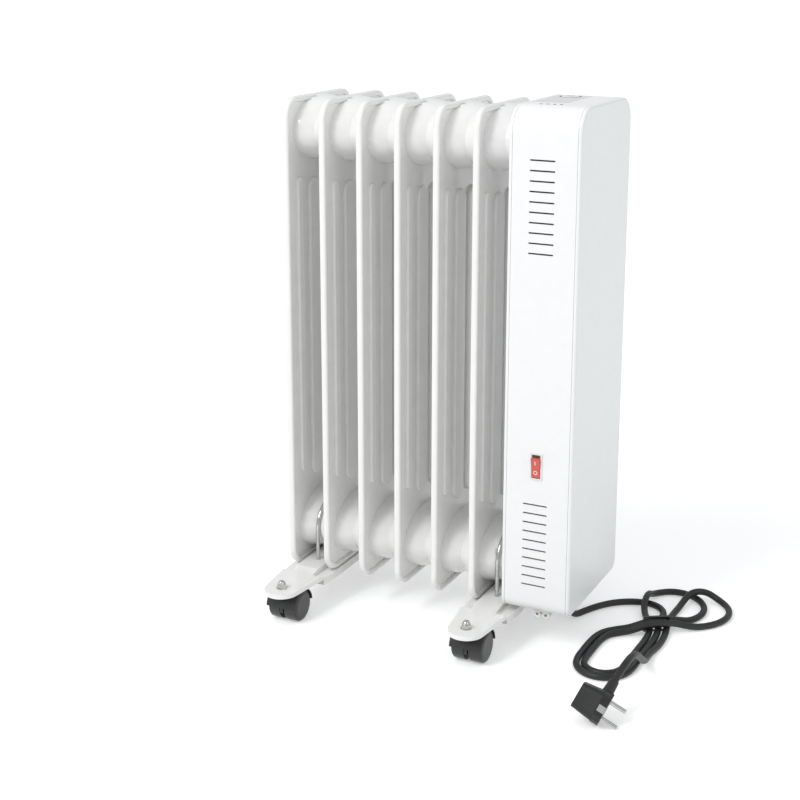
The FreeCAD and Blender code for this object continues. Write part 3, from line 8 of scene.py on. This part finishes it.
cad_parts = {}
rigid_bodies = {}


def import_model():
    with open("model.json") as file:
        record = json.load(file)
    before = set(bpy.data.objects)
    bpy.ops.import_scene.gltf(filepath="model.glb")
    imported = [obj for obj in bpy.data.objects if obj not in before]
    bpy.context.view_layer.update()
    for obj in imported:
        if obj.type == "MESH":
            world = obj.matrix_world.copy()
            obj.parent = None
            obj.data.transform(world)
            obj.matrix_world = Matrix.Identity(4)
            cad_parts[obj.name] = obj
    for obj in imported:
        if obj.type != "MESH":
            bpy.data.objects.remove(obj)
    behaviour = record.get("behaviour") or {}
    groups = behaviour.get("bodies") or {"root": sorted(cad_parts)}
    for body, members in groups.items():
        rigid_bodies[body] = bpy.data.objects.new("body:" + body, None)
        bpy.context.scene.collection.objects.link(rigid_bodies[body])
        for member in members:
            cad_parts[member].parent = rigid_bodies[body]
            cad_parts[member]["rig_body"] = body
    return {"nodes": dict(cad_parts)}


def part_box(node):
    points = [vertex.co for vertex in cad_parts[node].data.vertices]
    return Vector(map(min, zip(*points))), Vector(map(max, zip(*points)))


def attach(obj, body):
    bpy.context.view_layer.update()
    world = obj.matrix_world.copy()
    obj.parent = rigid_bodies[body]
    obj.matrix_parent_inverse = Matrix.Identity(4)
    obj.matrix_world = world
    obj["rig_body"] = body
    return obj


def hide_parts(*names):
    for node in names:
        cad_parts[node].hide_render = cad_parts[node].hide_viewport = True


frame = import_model()
NODES = frame["nodes"]
BODY_OF = {name: piece["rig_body"] for name, piece in NODES.items()}
MM = 0.001
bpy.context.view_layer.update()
bpy.ops.object.select_all(action="DESELECT")


# ---------------------------------------------------------------- camera
YAW = 26.52
PITCH = 13.57
lens = bpy.data.cameras.new("studio_camera")
camera = bpy.data.objects.new("studio_camera", lens)
bpy.context.scene.collection.objects.link(camera)
camera.location = (0.7039, -1.5446, 0.7894)
camera.rotation_euler = (math.radians(90 - PITCH), 0.0, math.radians(YAW))
lens.sensor_width = 36.0
lens.lens = 66.29
lens.shift_y = -0.12
lens.clip_end = 200.0
bpy.context.scene.camera = camera


# ---------------------------------------------------------------- materials
def linear(code):
    """An sRGB hex value as a linear colour."""
    parts = [int(code[i:i + 2], 16) / 255 for i in (1, 3, 5)]
    return [p / 12.92 if p <= 0.04045 else ((p + 0.055) / 1.055) ** 2.4 for p in parts] + [1.0]


def add(material, kind, settings=None, links=None):
    """One node, with its settings by socket or property name, and links from other nodes' outputs."""
    node = material.node_tree.nodes.new(kind)
    for key, value in (settings or {}).items():
        if key in node.inputs:
            node.inputs[key].default_value = value
        else:
            setattr(node, key, value)
    for key, output in (links or {}).items():
        material.node_tree.links.new(output, node.inputs[key])
    return node


def finish(name, shade, worn, grain, relief, **shader):
    """A surface with two near shades and a relief, both at the grain's size in millimetres."""
    made = bpy.data.materials.new(name)
    made.use_nodes = True
    made.node_tree.nodes.clear()
    place = add(made, "ShaderNodeTexCoord")
    cloud = add(made, "ShaderNodeTexNoise", {"Scale": 1 / (grain * 12 * MM), "Detail": 3.0},
                {"Vector": place.outputs["Object"]})
    speck = add(made, "ShaderNodeTexNoise", {"Scale": 1 / (grain * MM), "Detail": 2.0},
                {"Vector": place.outputs["Object"]})
    blend = add(made, "ShaderNodeValToRGB", {}, {"Fac": cloud.outputs["Fac"]})
    blend.color_ramp.elements[0].position = 0.3
    blend.color_ramp.elements[0].color = linear(worn)
    blend.color_ramp.elements[1].position = 0.7
    blend.color_ramp.elements[1].color = linear(shade)
    bump = add(made, "ShaderNodeBump", {"Strength": 0.6, "Distance": relief * MM},
               {"Height": speck.outputs["Fac"]})
    body = add(made, "ShaderNodeBsdfPrincipled", shader,
               {"Base Color": blend.outputs["Color"], "Normal": bump.outputs["Normal"]})
    add(made, "ShaderNodeOutputMaterial", {}, {"Surface": body.outputs["BSDF"]})
    return made


# stoved gloss enamel on pressed steel: a clear shine over a faint orange peel, 1.8 mm across
ENAMEL = finish("stoved_gloss_enamel", "#EEEEEC", "#EAEAE8", 1.8, 0.012,
                Roughness=0.2, **{"Coat Weight": 0.5, "Coat Roughness": 0.06})
# satin enamel on the folded box: fine 0.7 mm texture that softens the shine
SATIN = finish("satin_enamel_steel", "#EEEEEE", "#ECECEC", 0.9, 0.012, Roughness=0.42)
# moulded ABS end panel, semi gloss and a little cooler than the enamel
PANEL = finish("moulded_abs_panel", "#EEF0EF", "#ECEEED", 1.2, 0.006, Roughness=0.3)
# clear hook moulding in natural nylon, which lets light through
NATURAL = finish("natural_nylon", "#E4E4DE", "#DCDCD4", 1.0, 0.01, Roughness=0.35,
                 **{"Subsurface Weight": 0.4, "Subsurface Radius": (0.003, 0.003, 0.003)})
# polyester control film, smooth and a little greyer than the box
FILM = finish("polyester_film", "#D8D9D9", "#D4D5D5", 2.0, 0.003, Roughness=0.22)
# moulded push button, satin with a fine spark texture
BUTTON = finish("moulded_button_abs", "#E4E5E5", "#DFE0E0", 0.6, 0.012, Roughness=0.34)
# smoked lenses over the lamps, dark when they are off
LENS = finish("smoked_lamp_lens", "#35373A", "#2A2B2E", 0.8, 0.003, Roughness=0.12)
# grey screen print on the film and on the button
PRINT = finish("grey_screen_print", "#55585B", "#4C4F52", 0.5, 0.004, Roughness=0.5)
PRINT_WHITE = finish("white_screen_print", "#F4EEEC", "#ECE6E4", 0.5, 0.004, Roughness=0.5)
# translucent red polycarbonate rocker, with light inside the moulding
RED = finish("red_polycarbonate", "#D9655A", "#CC5248", 1.5, 0.004, Roughness=0.16,
             **{"Subsurface Weight": 0.35, "Subsurface Radius": (0.004, 0.0012, 0.0008)})
BEZEL = finish("white_switch_nylon", "#E8E8E6", "#E2E2E0", 0.8, 0.008, Roughness=0.3)
BLACK_BLOCK = finish("black_phenolic", "#1C1C1C", "#151515", 0.9, 0.01, Roughness=0.5)
# bright zinc and nickel plate: near mirror with faint drawn lines
PLATE = finish("bright_nickel_plate", "#CFCFCD", "#BDBDBB", 0.6, 0.006, Metallic=1.0, Roughness=0.14)
STEEL = finish("drawn_steel", "#A9A8A4", "#93928E", 0.5, 0.01, Metallic=1.0, Roughness=0.3)
BRASS = finish("turned_brass", "#C9A764", "#B48F4C", 0.6, 0.008, Metallic=1.0, Roughness=0.28)
SEAL = finish("nitrile_rubber", "#242424", "#1B1B1B", 0.7, 0.02, Roughness=0.7)
BOARD = finish("glass_fibre_laminate", "#2D5A38", "#244A2E", 0.9, 0.01, Roughness=0.4)
# moulded nylon castors: fine spark texture on the hood, smoother wheels
HOOD = finish("spark_textured_nylon", "#2B2B2B", "#232323", 0.6, 0.03, Roughness=0.5)
WHEEL = finish("moulded_nylon_wheel", "#303031", "#28282A", 0.9, 0.01, Roughness=0.3)
# soft PVC sheath of the lead and plug, matt with a faint bloom
SHEATH = finish("pvc_sheath", "#1E1E1F", "#161617", 0.8, 0.02, Roughness=0.48)
PLUG_PVC = finish("moulded_pvc_plug", "#1D1D1E", "#171718", 0.9, 0.025, Roughness=0.4)
TIE_PVC = finish("wire_tie_pvc", "#141415", "#1A1A1B", 0.7, 0.01, Roughness=0.36)

FINISH = {
    "box_housing": SATIN, "box_closing_plate": SATIN, "box_end_panel": PANEL, "cord_hook": NATURAL,
    "control_inlay": FILM, "power_button": BUTTON, "board_spacers": BEZEL, "indicator_lamps": LENS,
    "power_rocker": RED, "rocker_switch_body": BEZEL, "element_gasket": SEAL, "element_flange": BRASS,
    "control_board": BOARD, "thermostat": BLACK_BLOCK, "tip_over_switch": BLACK_BLOCK,
    "terminal_block": BLACK_BLOCK, "wiring_loom": SHEATH, "u_bolt_left": PLATE, "u_bolt_right": PLATE,
    "u_bolt_nuts": PLATE, "cap_nuts": PLATE, "plug_pins": PLATE, "plug_earth_clips": PLATE,
    "plug_body": PLUG_PVC, "cord_gland": PLUG_PVC, "cord_tie": TIE_PVC, "cord_lead": SHEATH,
    "cord_hank": SHEATH, "cord_tail": SHEATH,
}
STARTS = (("fin_", ENAMEL), ("foot_", ENAMEL), ("lower_header", ENAMEL), ("upper_header", ENAMEL),
          ("castor_hood", HOOD), ("wheel_", WHEEL))


def finish_of(name):
    """The finish of a CAD node; a node that no list names is drawn steel."""
    if name in FINISH:
        return FINISH[name]
    for start, material in STARTS:
        if name.startswith(start):
            return material
    return STEEL


for name, piece in NODES.items():
    piece.data.materials.clear()
    piece.data.materials.append(finish_of(name))


# ---------------------------------------------------------------- modelling helpers
def choose(*pieces):
    """Selects these pieces and nothing else."""
    bpy.ops.object.select_all(action="DESELECT")
    for piece in pieces:
        piece.select_set(True)
    bpy.context.view_layer.objects.active = pieces[0]


def settle(piece, name, material, body):
    """Names a finished piece, puts its place into its mesh and lets it ride."""
    choose(piece)
    bpy.ops.object.transform_apply(location=True, rotation=True, scale=True)
    piece.name = name
    piece.data.name = name
    piece.data.materials.clear()
    piece.data.materials.append(material)
    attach(piece, body)
    return piece


def pressed(name, angle):
    """A merged copy of a CAD node, with smooth curves and with flat panels that stay flat."""
    copy = bpy.data.objects.new("panel_" + name, NODES[name].data.copy())
    bpy.context.scene.collection.objects.link(copy)
    choose(copy)
    bpy.ops.object.mode_set(mode="EDIT")
    bpy.ops.mesh.select_all(action="SELECT")
    bpy.ops.mesh.remove_doubles(threshold=0.00001)
    bpy.ops.mesh.dissolve_limited(angle_limit=math.radians(0.1))
    bpy.ops.object.mode_set(mode="OBJECT")
    bpy.ops.object.shade_smooth_by_angle(angle=math.radians(angle))
    flat = copy.modifiers.new("flat_panels", "WEIGHTED_NORMAL")
    flat.mode = "FACE_AREA"
    flat.weight = 100
    flat.keep_sharp = True
    bpy.ops.object.modifier_apply(modifier="flat_panels")
    settle(copy, "panel_" + name, finish_of(name), BODY_OF[name])
    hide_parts(name)
    return copy


SOFT_CURVES = ["fin_%d" % n for n in range(1, 7)] + [
    "lower_header_neck", "upper_header_neck", "box_end_panel", "box_housing", "box_closing_plate",
    "u_bolt_left", "u_bolt_right", "cord_hook", "cord_gland", "plug_pins", "cap_nuts", "power_button",
    "plug_body", "indicator_lamps", "foot_left", "foot_right", "power_rocker",
]
for name in list(NODES):
    if name in SOFT_CURVES or name.startswith(("wheel_", "castor_hood")):
        pressed(name, 32)


# ---------------------------------------------------------------- mains lead
LEAD = (
    (153.5, 14, 27), (153.5, 14, 19.4), (154.7, 16.7, 12.4), (156.8, 21.6, 7.0), (159.7, 28, 4.1),
    (165, 40.5, 4.1), (171.5, 54, 4.1), (180.5, 68.5, 4.1), (192.5, 81.5, 4.1), (206.5, 90.5, 4.1),
    (219.5, 95, 4.1),
)
# through the tie and round the front loop on the outside
FIRST_TURN = (
    (228.3, 95.8, 4.1), (236.9, 93.8, 4.1), (244.4, 89.3, 4.1), (250.2, 82.6, 4.1), (253.6, 74.5, 4.1),
    (254.4, 65.7, 4.1), (255, 54, 4.1), (257, 41.5, 4.1), (260.5, 28, 4.1), (263, 12, 4.1),
    (263.5, -8, 4.1), (262.8, -26, 4.1), (262.4, -44, 4.1), (262.4, -62, 4.1), (262.6, -79, 4.1),
    (258.3, -96.2, 4.1), (246.5, -109, 4.1), (230.3, -113.5, 4.1), (214.2, -109, 4.1),
    (202.3, -96.2, 4.1), (198.3, -79, 4.1), (198, -60, 4.1), (198, -40, 4.1), (199, -20, 4.1),
    (204.5, -3, 4.1), (215, 9, 4.1), (228, 17, 5.5),
)
# over the tie's crossing and round the left rear loop
SECOND_TURN = (
    (238, 22, 9.5), (247.5, 28, 12.8), (258, 37.5, 12.8), (268, 47.5, 12.0), (278, 57.5, 8.5),
    (287, 69, 4.8), (293.5, 83, 4.1), (296, 99, 4.1), (293, 115, 4.1), (284.5, 129, 4.1),
    (272, 139.5, 4.1), (257, 144, 4.1), (242, 141, 4.1), (230.5, 131, 4.1), (225.5, 118, 6.5),
    (225, 106.5, 12.4), (225.5, 92, 12.8), (227.5, 79, 8.5), (232, 67, 4.6), (238, 55, 4.1),
    (244.5, 42, 4.1), (250, 29, 4.1), (253.5, 14, 4.1),
)
# round the front loop on the inside
THIRD_TURN = (
    (254.5, -6, 4.1), (254, -24, 4.1), (253.7, -42, 4.1), (253.5, -60, 4.1), (253.4, -79, 4.1),
    (250.2, -91.5, 4.1), (241.8, -100.4, 4.1), (230.3, -103.6, 4.1), (218.8, -100.4, 4.1),
    (210.4, -91.5, 4.1), (207.3, -79, 4.1), (207, -60, 4.1), (207, -42, 4.1), (207.8, -22, 4.1),
    (212, -7.5, 4.1), (220.5, 2.0, 4.1), (231, 8.4, 5.5),
)
# over the crossing again and round the big rear loop
FOURTH_TURN = (
    (241, 13, 9.5), (251, 19, 12.8), (263, 29, 12.8), (274, 38.5, 12.4), (285, 46.5, 8.5),
    (297, 54.5, 4.8), (308.5, 64.5, 4.1), (318.5, 77, 4.1), (324.5, 92, 4.1), (325.5, 108, 4.1),
    (321, 123, 4.1), (312.5, 134.5, 4.1), (301.5, 141.5, 6.0), (290, 143, 11.0), (279, 138.5, 13.0),
    (271.5, 129, 12.8), (267.5, 116, 8.5), (265.5, 102, 4.6), (264.5, 88, 4.1), (264, 74, 4.1),
    (264.3, 60, 4.1), (266.5, 45, 4.1), (270, 29, 4.1), (272.4, 12, 4.1), (272.6, -6, 4.1),
    (271.2, -20, 4.3),
)
TAIL = (
    (270.0, -33, 5.4), (270.6, -49, 6.6), (272.9, -67.8, 11.4), (276.4, -90.8, 25.5),
    (279.3, -112.5, 40.5), (280.7, -128.6, 49.2), (280.9, -142.2, 52.6), (280.0, -155.7, 52.2),
    (277.75, -168.3, 47.95), (274.74, -179.0, 40.3),
)
ROUTE = LEAD + FIRST_TURN + SECOND_TURN + THIRD_TURN + FOURTH_TURN + TAIL

wire = bpy.data.curves.new("mains_lead", "CURVE")
wire.dimensions = "3D"
strand = wire.splines.new("NURBS")
strand.points.add(len(ROUTE) - 1)
for point, place in zip(strand.points, ROUTE):
    point.co = [value * MM for value in place] + [1.0]
strand.order_u = 3
strand.use_endpoint_u = True
strand.resolution_u = 8
wire.bevel_depth = 0.004
wire.bevel_resolution = 5
wire.use_fill_caps = True
wire.materials.append(SHEATH)
lead = bpy.data.objects.new("mains_lead", wire)
bpy.context.scene.collection.objects.link(lead)
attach(lead, "heater")
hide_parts("cord_lead", "cord_hank", "cord_tail")


# ---------------------------------------------------------------- printed marks
def band(name, middle, inner, outer, thickness, gap, material, body, slot, tilt=0.0):
    """A thin flat ring, open by a gap in degrees at its far side, lying on a face."""
    bpy.ops.object.select_all(action="DESELECT")
    bpy.ops.mesh.primitive_circle_add(vertices=72, radius=inner * MM, fill_type="NOTHING")
    ring = bpy.context.object
    for edge in ring.data.edges:
        edge.select = False
    for vertex in ring.data.vertices:
        turned = abs(math.degrees(math.atan2(vertex.co.x, vertex.co.y)))
        vertex.select = turned < gap / 2
    bpy.ops.object.mode_set(mode="EDIT")
    if gap:
        bpy.ops.mesh.delete(type="VERT")
    bpy.ops.mesh.select_all(action="SELECT")
    bpy.ops.mesh.extrude_edges_move()
    bpy.ops.transform.resize(value=(outer / inner, outer / inner, 1), center_override=(0, 0, 0))
    bpy.ops.mesh.select_all(action="SELECT")
    bpy.ops.mesh.normals_make_consistent(inside=False)
    bpy.ops.object.mode_set(mode="OBJECT")
    wall = ring.modifiers.new("film", "SOLIDIFY")
    wall.thickness = thickness * MM
    wall.offset = 0.0
    bpy.ops.object.modifier_apply(modifier="film")
    lean = Matrix.Rotation(math.radians(tilt), 4, "X")
    ring.data.transform(Matrix.Translation(Vector(middle) * MM) @ lean)
    return settle(ring, name, material, body)


def stroke(name, middle, width, height, thickness, material, body, slot, tilt=0.0):
    """A short printed bar with bevelled ends, lying on a face."""
    bpy.ops.object.select_all(action="DESELECT")
    bpy.ops.mesh.primitive_cube_add(size=1.0)
    bar = bpy.context.object
    bar.data.transform(Matrix.Diagonal((width * MM, height * MM, thickness * MM, 1)))
    edge = bar.modifiers.new("ends", "BEVEL")
    edge.width = min(width, height) * 0.3 * MM
    edge.segments = 3
    edge.affect = "EDGES"
    bpy.ops.object.modifier_apply(modifier="ends")
    lean = Matrix.Rotation(math.radians(tilt), 4, "X")
    bar.data.transform(Matrix.Translation(Vector(middle) * MM) @ lean)
    return settle(bar, name, material, body)


button_low, button_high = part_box("power_button")
top = button_high.z / MM
button_x = (button_low.x + button_high.x) / 2 / MM
button_y = (button_low.y + button_high.y) / 2 / MM
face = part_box("box_housing")[1].z / MM
SURROUND = (10.9, 12.4)     # inner and outer radius of the ring round the button
SURROUND_THICK = 0.1
MARK = (3.2, 4.0)           # inner and outer radius of the power mark
MARK_GAP = 56               # degrees left open for its bar
MARK_BAR = (0.8, 3.4)
INK = 0.08
band("button_surround", (button_x, button_y, face + 0.03), *SURROUND, SURROUND_THICK, 0, PRINT,
     "heater", "button_plastic")
band("power_mark_arc", (button_x, button_y, top + 0.02), *MARK, INK, MARK_GAP, PRINT,
     "power_button", "button_plastic")
stroke("power_mark_bar", (button_x, button_y + 3.4, top + 0.02), *MARK_BAR, INK, PRINT,
       "power_button", "button_plastic")

ROCKER_PIVOT = Vector((144.6, -79.6, 226.6))
ROCKER_TILT = 8.0
HALF_FACE = Vector((0, -6.68, 5.85))    # middle of the upper half of the dished face, from the pivot
ROCKER_INK = 0.12
# the two halves of the dished rocker, leaning as the rocker does at rest
for name, up, shape in (("rocker_on_mark", 1, "bar"), ("rocker_off_mark", -1, "ring")):
    lean = math.atan2(1.1, 11.7) * up
    half = Vector((0, HALF_FACE.y, up * HALF_FACE.z))
    turn = Matrix.Rotation(math.radians(ROCKER_TILT), 4, "X")
    place = ROCKER_PIVOT + turn @ half
    tilt = 90 + ROCKER_TILT + math.degrees(lean)
    if shape == "bar":
        stroke(name, place, 0.9, 5.0, ROCKER_INK, PRINT_WHITE, "power_rocker", "switch_red", tilt)
    else:
        band(name, place, 1.7, 2.4, ROCKER_INK, 0, PRINT_WHITE, "power_rocker", "switch_red", tilt)


# ---------------------------------------------------------------- floor and light
floor_data = bpy.data.meshes.new("floor")
floor_data.from_pydata([(-60, -60, 0), (60, -60, 0), (60, 60, 0), (-60, 60, 0)], [], [(0, 1, 2, 3)])
floor = bpy.data.objects.new("floor", floor_data)
bpy.context.scene.collection.objects.link(floor)
paper = bpy.data.materials.new("white_floor")
paper.use_nodes = True
paper.node_tree.nodes.clear()
rays = add(paper, "ShaderNodeLightPath")
seen = add(paper, "ShaderNodeMath", {"operation": "MAXIMUM"})
paper.node_tree.links.new(rays.outputs["Is Camera Ray"], seen.inputs[0])
paper.node_tree.links.new(rays.outputs["Is Glossy Ray"], seen.inputs[1])
through = add(paper, "ShaderNodeMath", {"operation": "MAXIMUM"})
paper.node_tree.links.new(seen.outputs[0], through.inputs[0])
paper.node_tree.links.new(rays.outputs["Is Transmission Ray"], through.inputs[1])
matt = add(paper, "ShaderNodeBsdfDiffuse", {"Color": (0.86, 0.86, 0.86, 1)})
glow = add(paper, "ShaderNodeEmission", {"Color": (1, 1, 1, 1)}, {})
lift = add(paper, "ShaderNodeMath", {"operation": "MULTIPLY"}, {})
paper.node_tree.links.new(through.outputs[0], lift.inputs[0])
lift.inputs[1].default_value = 0.34
paper.node_tree.links.new(lift.outputs[0], glow.inputs["Strength"])
both = add(paper, "ShaderNodeAddShader")
paper.node_tree.links.new(matt.outputs[0], both.inputs[0])
paper.node_tree.links.new(glow.outputs[0], both.inputs[1])
add(paper, "ShaderNodeOutputMaterial", {}, {"Surface": both.outputs[0]})
floor_data.materials.append(paper)

room = bpy.data.worlds.new("white_room")
bpy.context.scene.world = room
room.use_nodes = True
room.node_tree.nodes.clear()
rays = add(room, "ShaderNodeLightPath")
seen = add(room, "ShaderNodeMath", {"operation": "MAXIMUM"})
room.node_tree.links.new(rays.outputs["Is Camera Ray"], seen.inputs[0])
room.node_tree.links.new(rays.outputs["Is Transmission Ray"], seen.inputs[1])
soft = add(room, "ShaderNodeBackground", {"Color": (0.97, 0.985, 1.0, 1), "Strength": 0.72})
white = add(room, "ShaderNodeBackground", {"Color": (1, 1, 1, 1), "Strength": 1.0})
mixed = add(room, "ShaderNodeMixShader")
room.node_tree.links.new(seen.outputs[0], mixed.inputs[0])
room.node_tree.links.new(soft.outputs[0], mixed.inputs[1])
room.node_tree.links.new(white.outputs[0], mixed.inputs[2])
add(room, "ShaderNodeOutputWorld", {}, {"Surface": mixed.outputs[0]})


def lamp(name, kind, place, aim, strength, **settings):
    """A studio light that faces a point."""
    data = bpy.data.lights.new(name, kind)
    data.energy = strength
    for key, value in settings.items():
        setattr(data, key, value)
    piece = bpy.data.objects.new(name, data)
    bpy.context.scene.collection.objects.link(piece)
    piece.location = place
    piece.rotation_euler = (Vector(aim) - Vector(place)).to_track_quat("-Z", "Y").to_euler()


lamp("key", "SUN", (-1.2, -2.0, 2.6), (0, 0, 0.3), 0.62, angle=math.radians(28))
lamp("side_fill", "SUN", (2.4, -0.8, 1.6), (0, 0, 0.3), 0.28, angle=math.radians(35))
lamp("softbox", "AREA", (-0.5, -1.6, 1.7), (0, 0, 0.35), 12.0, shape="RECTANGLE", size=0.35, size_y=0.9)

bpy.context.scene.view_settings.view_transform = "Standard"
